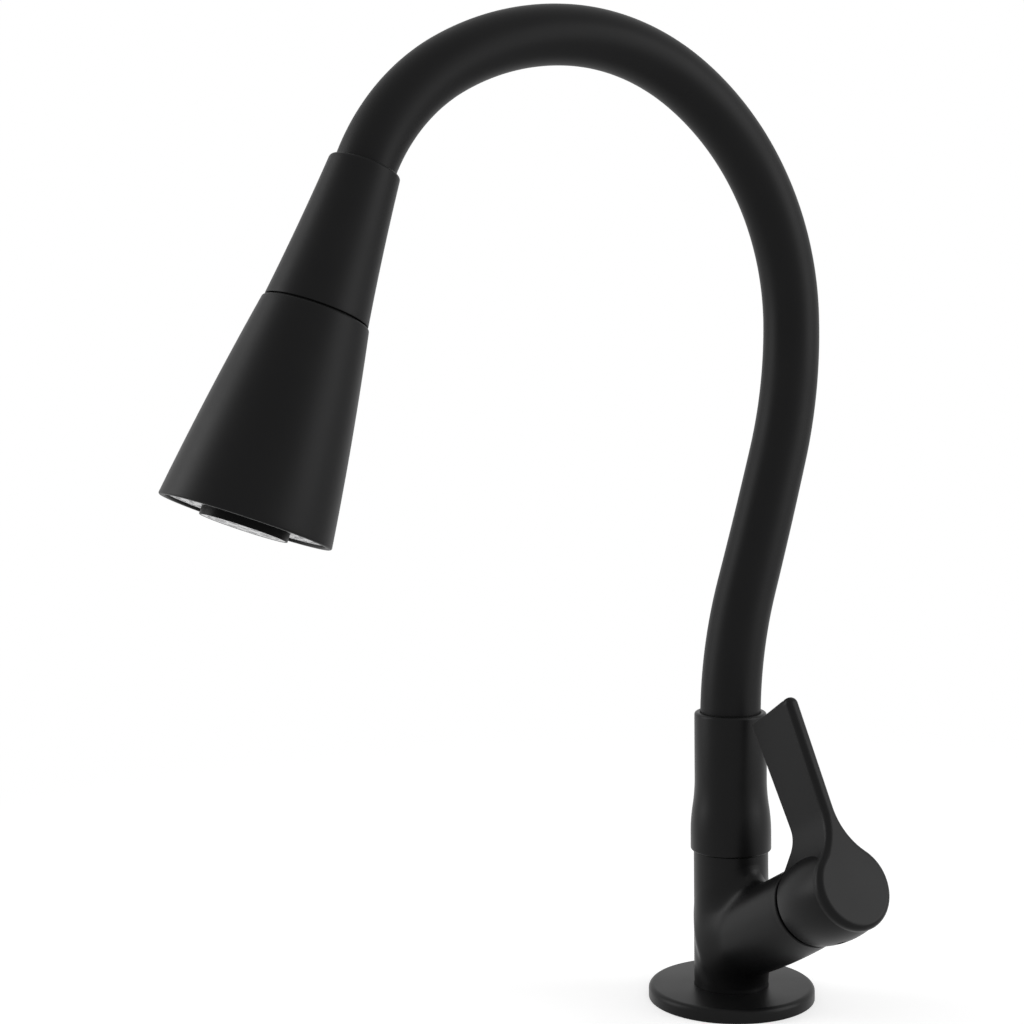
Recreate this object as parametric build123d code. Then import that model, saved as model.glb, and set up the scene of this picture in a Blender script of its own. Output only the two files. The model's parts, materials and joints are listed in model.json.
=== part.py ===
from build123d import *
import math
import os

# Flexible kitchen faucet for one hole in a deck: a column with a side lever, a swivelling bendable neck and a
# conical spray head. The origin is the centre of the flange's underside, on the deck. +Z is up, the spout
# reaches along -Y and the lever's barrel along +X. Lengths are in millimetres and angles in degrees.

# Clearances shared by every piece
running_gap = 0.05
slip_gap = 0.1
free_gap = 0.3
overrun = 1.0

# Column of the body, with the land that it keeps above the crest of the barrel
column_radius = 13.4
column_land = 10.64

# Side barrel, placed along its own axis from the column's axis
barrel_axis_height = 20.5
barrel_elevation = 28.0
barrel_root_radius = 13.0
barrel_radius = 14.25
barrel_length = 51.2
barrel_root_fillet = 5.0
barrel_rim_fillet = 0.5
barrel_lip_radius = 12.1
barrel_lip_length = 3.0
barrel_mouth_radius = 11.3
barrel_mouth_depth = 9.0

# Waterways in the body
shank_socket_depth = 10.0
inlet_radius = 5.5
seat_bore_radius = 4.5
seat_distance = 8.0
outlet_radius = 6.0
outlet_floor_rise = 10.5
spigot_socket_depth = 18.7

# Flange and its gasket
flange_radius = 30.0
flange_height = 5.0
flange_edge_radius = 1.9
gasket_outer_radius = 27.0
gasket_inner_radius = 23.5
gasket_thickness = 1.2

# Threaded shank, washers and nut below the deck, with a relief groove between the nut and the hose's thread
shank_radius = 10.4775
shank_bore_radius = 7.0
shank_stub_radius = 9.0
shank_end_chamfer = 1.0
hose_thread_length = 10.0
relief_gap = 0.5
relief_width = 1.5
relief_depth = 0.6
deck_thickness = 20.0
washer_radius = 22.0
rubber_washer_thickness = 3.0
steel_washer_thickness = 2.0
nut_across_flats = 27.0
nut_thickness = 8.0

# Cartridge, placed along the barrel's axis
seal_thickness = 1.6
cartridge_radius = 9.5
disc_chamber_radius = 6.2
disc_chamber_length = 11.0
disc_radius = 6.1
fixed_disc_thickness = 2.6
turning_disc_thickness = 2.4
disc_port_radius = 1.7
disc_port_offset = 3.2
closed_disc_angle = 90
window_length = 5.0
window_width = 7.0
cartridge_recess = 3.6
cartridge_hex_across_flats = 19.0
cartridge_hex_length = 4.6

# Stem that the lever turns
stem_radius = 4.0
stem_foot_radius = 5.6
stem_foot_length = 4.0
stem_reach = 15.3
stem_flat_length = 11.0
stem_across_flats = 6.4
o_ring_wire_radius = 0.7
stem_o_ring_recess = 12.6

# Lever: a skirt round the barrel's axis that flows into a blade
skirt_gap = 1.6
skirt_radius = 14.3
skirt_bulge = 1.3
lever_rest_lean = 1.4
blade_thickness = 4.4
blade_blend_radius = 22.0
blade_rear_height = 64.6
blade_front_height = 66.7
blade_rear_setback = 1.8
blade_foot_setback = 4.3
blade_rear_foot_height = 24.5
blade_rear_foot_drop = 13.5
pad_offset = 22.2
pad_height = 67.1
pad_thickness = 3.2
pad_proud = 0.4
pad_tip_radius = 2.5
pad_edge_radius = 2.3
skirt_cavity_radius = 12.6
skirt_cavity_end_gap = 0.7
set_screw_offset = 10.2
set_screw_radius = 2.0
set_screw_length = 7.0
set_screw_mouth_radius = 2.6
set_screw_mouth_depth = 1.6
set_screw_socket_across_flats = 2.0
set_screw_socket_depth = 2.2

# Spigot that the spout turns on
spigot_radius = 8.5
spigot_bore_radius = 4.6
spigot_collar_radius = 11.0
spigot_collar_thickness = 3.6
spigot_neck_radius = 7.0
spigot_top_gap = 2.6
spigot_o_ring_rise = 3.6
spigot_o_ring_pitch = 5.0
spigot_o_ring_count = 2
spigot_o_ring_wire_radius = 0.9
lock_screw_drop = 4.4
lock_screw_radius = 2.0
lock_screw_socket_across_flats = 2.0
lock_screw_socket_depth = 2.0
lock_groove_depth = 1.4
bearing_ring_thickness = 1.0

# Sleeve round the foot of the neck
sleeve_foot_radius = 14.5
sleeve_top_radius = 12.95
sleeve_length = 50.2
sleeve_step_start = 6.0
sleeve_step_end = 26.0
sleeve_foot_chamfer = 0.7
sleeve_top_fillet = 1.1
sleeve_bore_radius = 11.3

# Neck: layers of the hose, which is fuller at its foot, its route and its joints
hose_radius = 10.0
hose_foot_radius = 10.85
hose_taper_pieces = 3
silicone_wall = 1.9
armour_wall = 1.7
water_hose_wall = 2.2
neck_start_recess = 2.9
neck_piece_length = 48.68
neck_turns = (17.7, -1.8, -17.2, -27.9, -28.1, -33, -28.7, -39.5)
neck_foot_length = 14.0
neck_nose_length = 12.0
ball_shortfall = 0.1

# Ferrules at the ends of the neck
ferrule_barb_length = 9.0
ferrule_barb_taper = 0.5
ferrule_bore_radius = 2.7
ferrule_flange_radius = 10.0
ferrule_flange_thickness = 3.4
lower_ferrule_socket_radius = 9.0
lower_ferrule_socket_length = 10.0
upper_ferrule_stub_radius = 6.0
upper_ferrule_stub_length = 11.0

# Head, by distance along its axis from its top, which reaches back over the neck's last arc
head_overlap = 2.4
head_top_radius = 11.7
head_seam_radius = 17.0
head_seam_distance = 48.8
head_top_fillet = 1.2
upper_shell_hollow = 0.3
shell_wall = 2.2
head_seam_gap = 0.5
lower_shell_top_radius = 17.5
lower_shell_top_fillet = 0.9
head_mouth_radius = 28.05
head_length = 118.6
lower_shell_bulge = 0.5
shell_mouth_fillet = 0.6

# Parts inside the head
union_washer_thickness = 1.5
union_nut_radius = 9.2
union_nut_length = 15.0
core_spigot_length = 9.0
core_bore_radius = 3.4
core_flange_thickness = 7.0
core_tube_radius = 8.0
bearing_land_length = 7.0
bearing_land_wall = 2.6
port_plate_radius = 19.0
port_plate_thickness = 3.0
port_plate_recess = 22.6
port_radius = 2.0
port_offset = 12.0
selector_thickness = 2.4
selector_gap = 0.1
plate_recess = 1.0
plate_thickness = 2.6
nozzle_radius = 0.8
nozzle_rows = (18.0, 22.4)
nozzle_counts = (20, 26)
hub_radius = 14.3
hub_wall = 0.6
hub_proud = 1.95
aerator_recess = 0.1
aerator_length = 9.0
aerator_wall = 2.0
aerator_floor_thickness = 2.0
aerator_groove_width = 0.9
aerator_groove_depth = 0.8
aerator_window_radius = 2.0
aerator_window_offset = 7.9
aerator_window_count = 8
screen_thickness = 0.8
screen_hole_radius = 0.55
screen_hole_rows = (2.4, 4.8, 7.2)
screen_holes_per_row = 6
aerator_seal_thickness = 1.6

# Heights of the body and the swivel above the deck
tilt = math.radians(barrel_elevation)
barrel_crest = barrel_axis_height + column_radius * math.tan(tilt) + barrel_radius / math.cos(tilt)
column_height = barrel_crest + column_land
outlet_floor_height = barrel_axis_height + outlet_floor_rise
spigot_socket_floor_height = column_height - spigot_socket_depth
spigot_socket_radius = spigot_radius + running_gap
spigot_low = spigot_socket_floor_height + free_gap
spigot_o_ring_height = spigot_low + spigot_o_ring_rise
lock_screw_height = column_height - lock_screw_drop
bearing_top = column_height + bearing_ring_thickness
collar_low = bearing_top + running_gap
collar_high = collar_low + spigot_collar_thickness
sleeve_low = column_height + free_gap
sleeve_high = sleeve_low + sleeve_length
neck_start_height = sleeve_high - neck_start_recess
neck_foot_height = neck_start_height - neck_foot_length
spigot_top_height = neck_foot_height - ferrule_flange_thickness - spigot_top_gap

# Heights below the deck
washer_bore = shank_radius + slip_gap
rubber_washer_low = -deck_thickness - rubber_washer_thickness
steel_washer_low = rubber_washer_low - steel_washer_thickness
nut_low = steel_washer_low - nut_thickness
relief_high = nut_low - relief_gap
relief_low = relief_high - relief_width
shank_low = relief_low - hose_thread_length - shank_end_chamfer

# Frames that pieces are built in and then moved to
barrel_frame = Plane(
    origin=(0, 0, barrel_axis_height),
    x_dir=(-math.sin(tilt), 0, math.cos(tilt)),
    z_dir=(math.cos(tilt), 0, math.sin(tilt)),
)


def place(start, heading, distance):
    """The point that lies a distance from start along a heading in the neck's plane."""
    angle = math.radians(heading)
    return (0, start[1] + distance * math.sin(angle), start[2] + distance * math.cos(angle))


def arc_step(start, heading, length, turn):
    """The end of an arc that leaves start along heading and turns by turn over its length."""
    half = math.radians(turn) / 2
    chord = length * (math.sin(half) / half if half else 1)
    return place(start, heading + turn / 2, chord)


def frame_at(point, heading):
    """A frame at a point of the neck, with its z axis along the heading."""
    angle = math.radians(heading)
    return Plane(origin=point, x_dir=(1, 0, 0), z_dir=(0, math.sin(angle), math.cos(angle)))


neck_points = [(0, 0, neck_start_height)]
neck_headings = [0]
for neck_turn in neck_turns:
    neck_points.append(arc_step(neck_points[-1], neck_headings[-1], neck_piece_length, neck_turn))
    neck_headings.append(neck_headings[-1] + neck_turn)
head_frame = frame_at(place(neck_points[-1], neck_headings[-1], -head_overlap), neck_headings[-1])


def rod(radius, low, high):
    """A cylinder about Z between two heights."""
    return Pos(0, 0, low) * Cylinder(radius, high - low, align=(Align.CENTER, Align.CENTER, Align.MIN))


def tube(outer, inner, low, high):
    """A hollow cylinder about Z between two heights."""
    return rod(outer, low, high) - rod(inner, low - overrun, high + overrun)


def hexagon(across_flats, low, high):
    """A hexagonal prism about Z between two heights."""
    face = RegularPolygon(across_flats / 2, 6, major_radius=False)
    return Pos(0, 0, low) * extrude(face, high - low)


def turned(outline):
    """A solid of revolution about Z from the outline of its half section, drawn as (radius, height)."""
    return revolve(Plane.XZ * make_face(outline), Axis.Z)


def s_curve(start, end, heading):
    """Two arcs that leave start and reach end along the same heading and meet in the middle."""
    middle = ((start[0] + end[0]) / 2, (start[1] + end[1]) / 2)
    back = (-heading[0], -heading[1])
    return [TangentArc(start, middle, tangent=heading), TangentArc(end, middle, tangent=back)]


def o_ring(centre_radius, wire_radius, height):
    """A ring of round section about Z."""
    return Pos(0, 0, height) * Torus(centre_radius, wire_radius)


# Places along the barrel
barrel_end = barrel_length + barrel_lip_length
seat_end = seat_distance + seal_thickness
fixed_disc_end = seat_end + fixed_disc_thickness
turning_disc_start = fixed_disc_end + running_gap
turning_disc_end = turning_disc_start + turning_disc_thickness
stem_start = turning_disc_end + running_gap
chamber_end = seat_end + disc_chamber_length
cartridge_end = barrel_end - cartridge_recess
stem_o_ring_distance = cartridge_end - stem_o_ring_recess
stem_end_distance = barrel_length + stem_reach
skirt_start = barrel_length + skirt_gap
skirt_cavity_end = barrel_end + skirt_cavity_end_gap
set_screw_distance = skirt_start + set_screw_offset
pad_distance = skirt_start + pad_offset

# Layers of the neck
silicone_bore = hose_radius - silicone_wall
armour_radius = silicone_bore - slip_gap
armour_bore = armour_radius - armour_wall
water_radius = armour_bore - slip_gap
water_bore = water_radius - water_hose_wall
neck_layers = {
    "neck_sleeve": (hose_foot_radius, hose_radius, silicone_bore),
    "neck_armour": (armour_radius, armour_radius, armour_bore),
    "water_hose": (water_radius, water_radius, water_bore),
}

# Distances along the head
ferrule_flange_end = neck_nose_length + ferrule_flange_thickness
stub_end = ferrule_flange_end + upper_ferrule_stub_length
core_start = stub_end + union_washer_thickness
core_flange_start = core_start + core_spigot_length
core_flange_end = core_flange_start + core_flange_thickness
lower_shell_start = head_seam_distance + head_seam_gap
port_plate_distance = head_length - port_plate_recess
plate_end = head_length - plate_recess
plate_start = plate_end - plate_thickness
hub_end = head_length + hub_proud
aerator_end = hub_end - aerator_recess
aerator_start = aerator_end - aerator_length
selector_start = port_plate_distance + port_plate_thickness + selector_gap
selector_end = selector_start + selector_thickness


def upper_shell_radius(distance):
    """Outer radius of the head's upper shell at a distance from its top."""
    return head_top_radius + (head_seam_radius - head_top_radius) * distance / head_seam_distance


def lower_shell_radius(distance):
    """Outer radius of the head's lower shell, taken along its straight chord."""
    share = (distance - lower_shell_start) / (head_length - lower_shell_start)
    return lower_shell_top_radius + (head_mouth_radius - lower_shell_top_radius) * share


def faucet_body():
    column = rod(column_radius, 0, column_height)
    ends_and_length = (barrel_root_radius, barrel_radius, barrel_length)
    barrel = barrel_frame * Cone(*ends_and_length, align=(Align.CENTER, Align.CENTER, Align.MIN))
    barrel = barrel - Pos(-column_radius, 0, 0) * rod(column_radius, -overrun, column_height)
    body = column + barrel
    junction = [edge for edge in body.edges() if edge.geom_type not in (GeomType.CIRCLE, GeomType.LINE)]
    body = fillet(junction, barrel_root_fillet)
    rim = body.edges().filter_by(GeomType.CIRCLE).sort_by(Axis.X)[-1]
    body = fillet(rim, barrel_rim_fillet)
    body = body + barrel_frame * rod(barrel_lip_radius, barrel_length - overrun, barrel_end)
    cuts = [
        rod(shank_stub_radius + slip_gap, -overrun, shank_socket_depth),
        rod(inlet_radius, 0, barrel_axis_height),
        rod(outlet_radius, outlet_floor_height, column_height),
        rod(spigot_socket_radius, spigot_socket_floor_height, column_height + overrun),
        barrel_frame * rod(seat_bore_radius, 0, seat_distance + overrun),
        barrel_frame * rod(cartridge_radius + slip_gap, seat_distance, barrel_end),
        barrel_frame * rod(barrel_mouth_radius, barrel_end - barrel_mouth_depth, barrel_end + overrun),
        lock_screw_axis() * rod(lock_screw_radius + slip_gap, 0, column_radius + overrun),
    ]
    for cut in cuts:
        body = body - cut
    return body


def lock_screw_axis():
    """A frame on the column's axis whose z axis runs out through the back of the column."""
    return Plane(origin=(0, 0, lock_screw_height), x_dir=(1, 0, 0), z_dir=(0, 1, 0))


def spout_lock_screw():
    inner = spigot_radius - lock_groove_depth + free_gap
    outer = column_radius - free_gap
    screw = rod(lock_screw_radius, inner, outer)
    socket = hexagon(lock_screw_socket_across_flats, outer - lock_screw_socket_depth, outer + overrun)
    return lock_screw_axis() * (screw - socket)


def base_flange():
    flange = tube(flange_radius, column_radius + slip_gap, 0, flange_height)
    edge = flange.edges().filter_by(GeomType.CIRCLE).group_by(Axis.Z)[-1].sort_by(SortBy.RADIUS)[-1]
    flange = fillet(edge, flange_edge_radius)
    groove = tube(
        gasket_outer_radius + slip_gap,
        gasket_inner_radius - slip_gap,
        -overrun,
        gasket_thickness + slip_gap,
    )
    return flange - groove


def flange_gasket():
    return tube(gasket_outer_radius, gasket_inner_radius, 0, gasket_thickness)


def threaded_shank():
    shank = rod(shank_radius, shank_low, 0)
    low_edge = shank.edges().filter_by(GeomType.CIRCLE).sort_by(Axis.Z)[0]
    shank = chamfer(low_edge, shank_end_chamfer)
    shank = shank + rod(shank_stub_radius, 0, shank_socket_depth - slip_gap)
    shank = shank - tube(washer_radius, shank_radius - relief_depth, relief_low, relief_high)
    return shank - rod(shank_bore_radius, shank_low - overrun, shank_socket_depth + overrun)


def fixing_nut():
    return hexagon(nut_across_flats, nut_low, steel_washer_low) - rod(
        washer_bore, nut_low - overrun, steel_washer_low + overrun
    )


def cartridge_body():
    hex_start = cartridge_end - cartridge_hex_length
    body = rod(cartridge_radius, seat_end, hex_start)
    body = body + hexagon(cartridge_hex_across_flats, hex_start, cartridge_end)
    body = body - rod(disc_chamber_radius, seat_end - overrun, chamber_end)
    body = body - rod(stem_radius + running_gap, seat_end, cartridge_end + overrun)
    window_middle = chamber_end - window_length
    window = Pos(0, 0, window_middle) * Box(2 * barrel_radius, window_width, window_length)
    return barrel_frame * (body - window)


def cartridge_seat_seal():
    return barrel_frame * tube(cartridge_radius - slip_gap, seat_bore_radius, seat_distance, seat_end)


def lever_place(piece):
    """Moves a piece that turns with the lever from the barrel's own frame to its place at rest."""
    return barrel_frame * (Rot(0, 0, lever_rest_lean) * piece)


def disc(start, end):
    """A ceramic disc with its two water ports."""
    plate = rod(disc_radius, start, end)
    for side in (-1, 1):
        port = rod(disc_port_radius, start - overrun, end + overrun)
        plate = plate - Pos(side * disc_port_offset, 0, 0) * port
    return plate


def ceramic_disc_fixed():
    return barrel_frame * disc(seat_end, fixed_disc_end)


def ceramic_disc_turning():
    return lever_place(Rot(0, 0, closed_disc_angle) * disc(turning_disc_start, turning_disc_end))


def flats(across, low, high):
    """A block that leaves two flats across the lever's stem, facing along the blade."""
    size = high - low
    return Pos(0, 0, (low + high) / 2) * Box(across, 2 * barrel_radius, size)


def cartridge_stem():
    stem = rod(stem_radius, stem_start, stem_end_distance)
    flat_start = stem_end_distance - stem_flat_length
    tip = rod(stem_radius, flat_start, stem_end_distance)
    tip = tip & flats(stem_across_flats, flat_start, stem_end_distance)
    stem = stem - rod(barrel_radius, flat_start, stem_end_distance + overrun) + tip
    stem = stem + rod(stem_foot_radius, stem_start, stem_start + stem_foot_length)
    groove_floor = stem_radius - 2 * o_ring_wire_radius
    groove = tube(
        barrel_radius,
        groove_floor,
        stem_o_ring_distance - o_ring_wire_radius - running_gap,
        stem_o_ring_distance + o_ring_wire_radius + running_gap,
    )
    return lever_place(stem - groove)


def stem_o_ring():
    ring = o_ring(stem_radius - o_ring_wire_radius, o_ring_wire_radius, stem_o_ring_distance)
    return lever_place(ring)


def lever_outline(radius, half_thickness, height):
    """Teardrop across the barrel's axis: a circle whose flanks flow up into the sides of the blade."""
    blend_side = half_thickness + blade_blend_radius
    reach = radius + blade_blend_radius
    blend_height = math.sqrt(reach**2 - blend_side**2)
    share = radius / reach
    lean = math.atan2(blend_height, blend_side)
    middle_angle = (math.pi + (math.pi + lean)) / 2
    shoulder = (blend_height * share, blend_side * share)
    middle = (
        blend_height + blade_blend_radius * math.sin(middle_angle),
        blend_side + blade_blend_radius * math.cos(middle_angle),
    )
    top_y = half_thickness
    right = [
        Line((height, top_y), (blend_height, top_y)),
        ThreePointArc((blend_height, top_y), middle, shoulder),
    ]
    left = [
        ThreePointArc((shoulder[0], -shoulder[1]), (middle[0], -middle[1]), (blend_height, -top_y)),
        Line((blend_height, -top_y), (height, -top_y)),
    ]
    bottom = ThreePointArc(shoulder, (-radius, 0), (shoulder[0], -shoulder[1]))
    top = Line((height, -top_y), (height, top_y))
    return make_face(right + [bottom] + left + [top])


def lever_side_block():
    """What the lever keeps when seen from the side: the blade's sloped end and its set-back rear edge."""
    rear = skirt_start + blade_rear_setback
    rear_foot = skirt_start + blade_foot_setback
    front = pad_distance + pad_thickness
    foot_end = blade_rear_foot_height - blade_rear_foot_drop
    low = -2 * skirt_radius
    outline = [
        Line((low, skirt_start), (foot_end, skirt_start)),
        *s_curve((foot_end, skirt_start), (blade_rear_foot_height, rear_foot), (1, 0)),
        Line((blade_rear_foot_height, rear_foot), (blade_rear_height, rear)),
        Line((blade_rear_height, rear), (blade_front_height, front)),
        Line((blade_front_height, front), (low, front)),
        Line((low, front), (low, skirt_start)),
    ]
    face = Plane(origin=(0, 0, 0), x_dir=(1, 0, 0), z_dir=(0, -1, 0)) * make_face(outline)
    return extrude(face, 2 * skirt_radius, both=True)


def skirt_belly():
    """The soft swelling of the skirt between its open end and the pad."""
    middle = (skirt_start + pad_distance) / 2
    outline = [
        Line((0, skirt_start), (skirt_radius, skirt_start)),
        ThreePointArc(
            (skirt_radius, skirt_start),
            (skirt_radius + skirt_bulge, middle),
            (skirt_radius, pad_distance),
        ),
        Line((skirt_radius, pad_distance), (0, pad_distance)),
        Line((0, pad_distance), (0, skirt_start)),
    ]
    return turned(outline)


def handle():
    tall = 2 * pad_height
    half = blade_thickness / 2
    grip_outline = lever_outline(skirt_radius, half, tall)
    grip = Pos(0, 0, skirt_start) * extrude(grip_outline, pad_distance - skirt_start)
    pad_outline = lever_outline(skirt_radius + pad_proud, half + pad_proud, pad_height)
    pad = Pos(0, 0, pad_distance) * extrude(pad_outline, pad_thickness)
    tip_edges = pad.edges().filter_by(Axis.Z).sort_by(Axis.X)[-2:]
    pad = fillet(tip_edges, pad_tip_radius)
    pad = fillet(pad.faces().sort_by(Axis.Z)[-1].edges(), pad_edge_radius)
    lever = (grip & lever_side_block()) + skirt_belly() + pad
    lever = lever - rod(skirt_cavity_radius, skirt_start - overrun, skirt_cavity_end)
    stem_bore_end = stem_end_distance + free_gap
    flat_start = stem_end_distance - stem_flat_length
    socket = rod(stem_radius + slip_gap, flat_start, stem_bore_end)
    socket = socket & flats(stem_across_flats + slip_gap, flat_start, stem_bore_end)
    clearance_bore = rod(stem_radius + slip_gap, skirt_start, flat_start + slip_gap)
    lever = lever - socket - clearance_bore
    drill = set_screw_axis() * rod(set_screw_radius + slip_gap, 0, 2 * skirt_radius)
    mouth_start = skirt_radius - set_screw_mouth_depth
    mouth = set_screw_axis() * rod(set_screw_mouth_radius, mouth_start, 2 * skirt_radius)
    return lever_place(lever - drill - mouth)


def set_screw_axis():
    """A frame, within the barrel's frame, whose z axis runs out through the skirt's underside."""
    return Plane(origin=(0, 0, set_screw_distance), x_dir=(0, 1, 0), z_dir=(-1, 0, 0))


def handle_set_screw():
    inner = stem_across_flats / 2
    outer = inner + set_screw_length
    screw = rod(set_screw_radius, inner, outer)
    socket = hexagon(set_screw_socket_across_flats, outer - set_screw_socket_depth, outer + overrun)
    return lever_place(set_screw_axis() * (screw - socket))


def swivel_spigot():
    spigot = rod(spigot_radius, spigot_low, collar_low)
    spigot = spigot + rod(spigot_collar_radius, collar_low, collar_high)
    spigot = spigot + rod(spigot_neck_radius, collar_high, spigot_top_height)
    for height in spigot_o_ring_heights():
        half = spigot_o_ring_wire_radius + running_gap
        floor = spigot_radius - 2 * spigot_o_ring_wire_radius
        spigot = spigot - tube(column_radius, floor, height - half, height + half)
    half = lock_screw_radius + free_gap
    floor = spigot_radius - lock_groove_depth
    spigot = spigot - tube(column_radius, floor, lock_screw_height - half, lock_screw_height + half)
    return spigot - rod(spigot_bore_radius, spigot_low - overrun, spigot_top_height + overrun)


def spigot_o_ring_heights():
    return [spigot_o_ring_height + spigot_o_ring_pitch * index for index in range(spigot_o_ring_count)]


def spigot_o_rings():
    centre = spigot_radius - spigot_o_ring_wire_radius
    return [o_ring(centre, spigot_o_ring_wire_radius, height) for height in spigot_o_ring_heights()]


def swivel_bearing_ring():
    return tube(spigot_collar_radius, spigot_radius + slip_gap, column_height, bearing_top)


def swivel_sleeve():
    foot_top = sleeve_low + sleeve_step_start
    slim = sleeve_low + sleeve_step_end
    lip_bore = hose_foot_radius + slip_gap
    outline = [
        Line((sleeve_bore_radius, sleeve_low), (sleeve_foot_radius - sleeve_foot_chamfer, sleeve_low)),
        Line(
            (sleeve_foot_radius - sleeve_foot_chamfer, sleeve_low),
            (sleeve_foot_radius, sleeve_low + sleeve_foot_chamfer),
        ),
        Line((sleeve_foot_radius, sleeve_low + sleeve_foot_chamfer), (sleeve_foot_radius, foot_top)),
        *s_curve((sleeve_foot_radius, foot_top), (sleeve_top_radius, slim), (0, 1)),
        Line((sleeve_top_radius, slim), (sleeve_top_radius, sleeve_high)),
        Line((sleeve_top_radius, sleeve_high), (lip_bore, sleeve_high)),
        Line((lip_bore, sleeve_high), (lip_bore, neck_foot_height)),
        Line((lip_bore, neck_foot_height), (sleeve_bore_radius, neck_foot_height)),
        Line((sleeve_bore_radius, neck_foot_height), (sleeve_bore_radius, sleeve_low)),
    ]
    sleeve = turned(outline)
    top = sleeve.edges().filter_by(GeomType.CIRCLE).group_by(Axis.Z)[-1].sort_by(SortBy.RADIUS)[-1]
    return fillet(top, sleeve_top_fillet)


def barb(tip, root):
    """A tapered hose tail about Z that grips the water hose's bore, from its tip's height to its root's."""
    tip_radius = water_bore - slip_gap - ferrule_barb_taper
    root_radius = water_bore - slip_gap
    outline = Polyline((0, tip), (tip_radius, tip), (root_radius, root), (0, root), close=True)
    return turned(outline)


def neck_lower_ferrule():
    flange_low = neck_foot_height - ferrule_flange_thickness
    socket_low = flange_low - lower_ferrule_socket_length
    ferrule = rod(ferrule_flange_radius, flange_low, neck_foot_height)
    ferrule = ferrule + rod(lower_ferrule_socket_radius, socket_low, flange_low)
    ferrule = ferrule + barb(neck_foot_height + ferrule_barb_length, neck_foot_height)
    ferrule = ferrule - rod(spigot_neck_radius + slip_gap, socket_low - overrun, spigot_top_height)
    return ferrule - rod(ferrule_bore_radius, socket_low, neck_foot_height + ferrule_barb_length + overrun)


def neck_arc(index, start_radius, end_radius):
    """A solid rod along one arc of the neck, from its radius at the start to its radius at the end."""
    start = neck_points[index]
    heading = neck_headings[index]
    turn = neck_turns[index]
    middle = arc_step(start, heading, neck_piece_length / 2, turn / 2)
    end = neck_points[index + 1]
    path = ThreePointArc(start, middle, end) if turn else Line(start, end)
    first = frame_at(start, heading) * Circle(start_radius)
    if start_radius == end_radius:
        return sweep(first, path=path)
    last = frame_at(end, heading + turn) * Circle(end_radius)
    return sweep([first, last], path=path, multisection=True)


def narrowed(foot_radius, radius, index):
    """A layer's outer radius where a neck piece starts: it narrows from the foot over the first pieces."""
    share = max(0, 1 - index / hose_taper_pieces)
    return radius + (foot_radius - radius) * share


def neck_layer(index, foot_radius, radius, inner):
    """One layer of one neck piece, with a cup at its foot and a ball round the next pivot."""
    last = len(neck_turns) - 1
    start_frame = frame_at(neck_points[index], neck_headings[index])
    end_frame = frame_at(neck_points[index + 1], neck_headings[index + 1])
    start_radius = narrowed(foot_radius, radius, index)
    end_radius = narrowed(foot_radius, radius, index + 1)
    layer = neck_arc(index, start_radius, end_radius) - neck_arc(index, inner, inner)
    if index == 0:
        layer = layer + start_frame * tube(start_radius, inner, -neck_foot_length, 0)
    else:
        cup_radius = narrowed(hose_foot_radius, hose_radius, index) + free_gap
        layer = layer - start_frame * Sphere(cup_radius)
    if index == last:
        return layer + end_frame * tube(end_radius, inner, 0, neck_nose_length - head_overlap)
    ball_radius = narrowed(hose_foot_radius, hose_radius, index + 1) - ball_shortfall
    ball = tube(end_radius, inner, 0, ball_radius) & Sphere(ball_radius)
    return layer + end_frame * ball


def neck_upper_ferrule():
    tail = neck_nose_length - ferrule_barb_length
    ferrule = rod(ferrule_flange_radius, neck_nose_length, ferrule_flange_end)
    ferrule = ferrule + rod(upper_ferrule_stub_radius, ferrule_flange_end, stub_end)
    ferrule = ferrule + barb(tail, neck_nose_length)
    return ferrule - rod(ferrule_bore_radius, tail - overrun, stub_end + overrun)


def union_washer():
    return tube(upper_ferrule_stub_radius - slip_gap, ferrule_bore_radius, stub_end, core_start)


def hose_union_nut():
    middle = (stub_end + core_start) / 2
    low = middle - union_nut_length / 2
    return tube(union_nut_radius, upper_ferrule_stub_radius + slip_gap, low, low + union_nut_length)


def head_core():
    seat = upper_shell_radius(core_flange_start) - shell_wall - slip_gap
    core = rod(upper_ferrule_stub_radius, core_start, core_flange_start)
    core = core + rod(seat, core_flange_start, core_flange_end)
    core = core + rod(core_tube_radius, core_flange_end, port_plate_distance)
    plate_end_distance = port_plate_distance + port_plate_thickness
    core = core + rod(port_plate_radius, port_plate_distance, plate_end_distance)
    core = core - rod(core_bore_radius, core_start - overrun, plate_end_distance + overrun)
    port = rod(port_radius, port_plate_distance - overrun, plate_end_distance + overrun)
    for side in (-1, 1):
        core = core - Pos(side * port_offset, 0, 0) * port
    return core


def head_upper_shell():
    wall_end = upper_shell_radius(head_seam_distance) - shell_wall
    land = upper_shell_radius(core_flange_start) - shell_wall
    lip = hose_radius + slip_gap
    slope = (head_seam_radius - head_top_radius) / head_seam_distance
    cone_start = (lip + shell_wall - head_top_radius) / slope
    top_corner = (head_top_radius, 0)
    seam_corner = (head_seam_radius, head_seam_distance)
    middle_distance = head_seam_distance / 2
    middle_radius = upper_shell_radius(middle_distance) - upper_shell_hollow
    inside = Polyline(
        seam_corner,
        (wall_end, head_seam_distance),
        (wall_end, core_flange_end),
        (land, core_flange_end),
        (land, core_flange_start),
        (lip, cone_start),
        (lip, 0),
        top_corner,
    )
    shell = turned([ThreePointArc(top_corner, (middle_radius, middle_distance), seam_corner), inside])
    top = shell.edges().filter_by(GeomType.CIRCLE).group_by(Axis.Z)[0].sort_by(SortBy.RADIUS)[-1]
    return fillet(top, head_top_fillet)


def shell_bearing_ring():
    outer = lower_shell_top_radius - bearing_land_wall - running_gap
    land_end = lower_shell_start + bearing_land_length
    return tube(outer, core_tube_radius + slip_gap, lower_shell_start, land_end)


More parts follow.
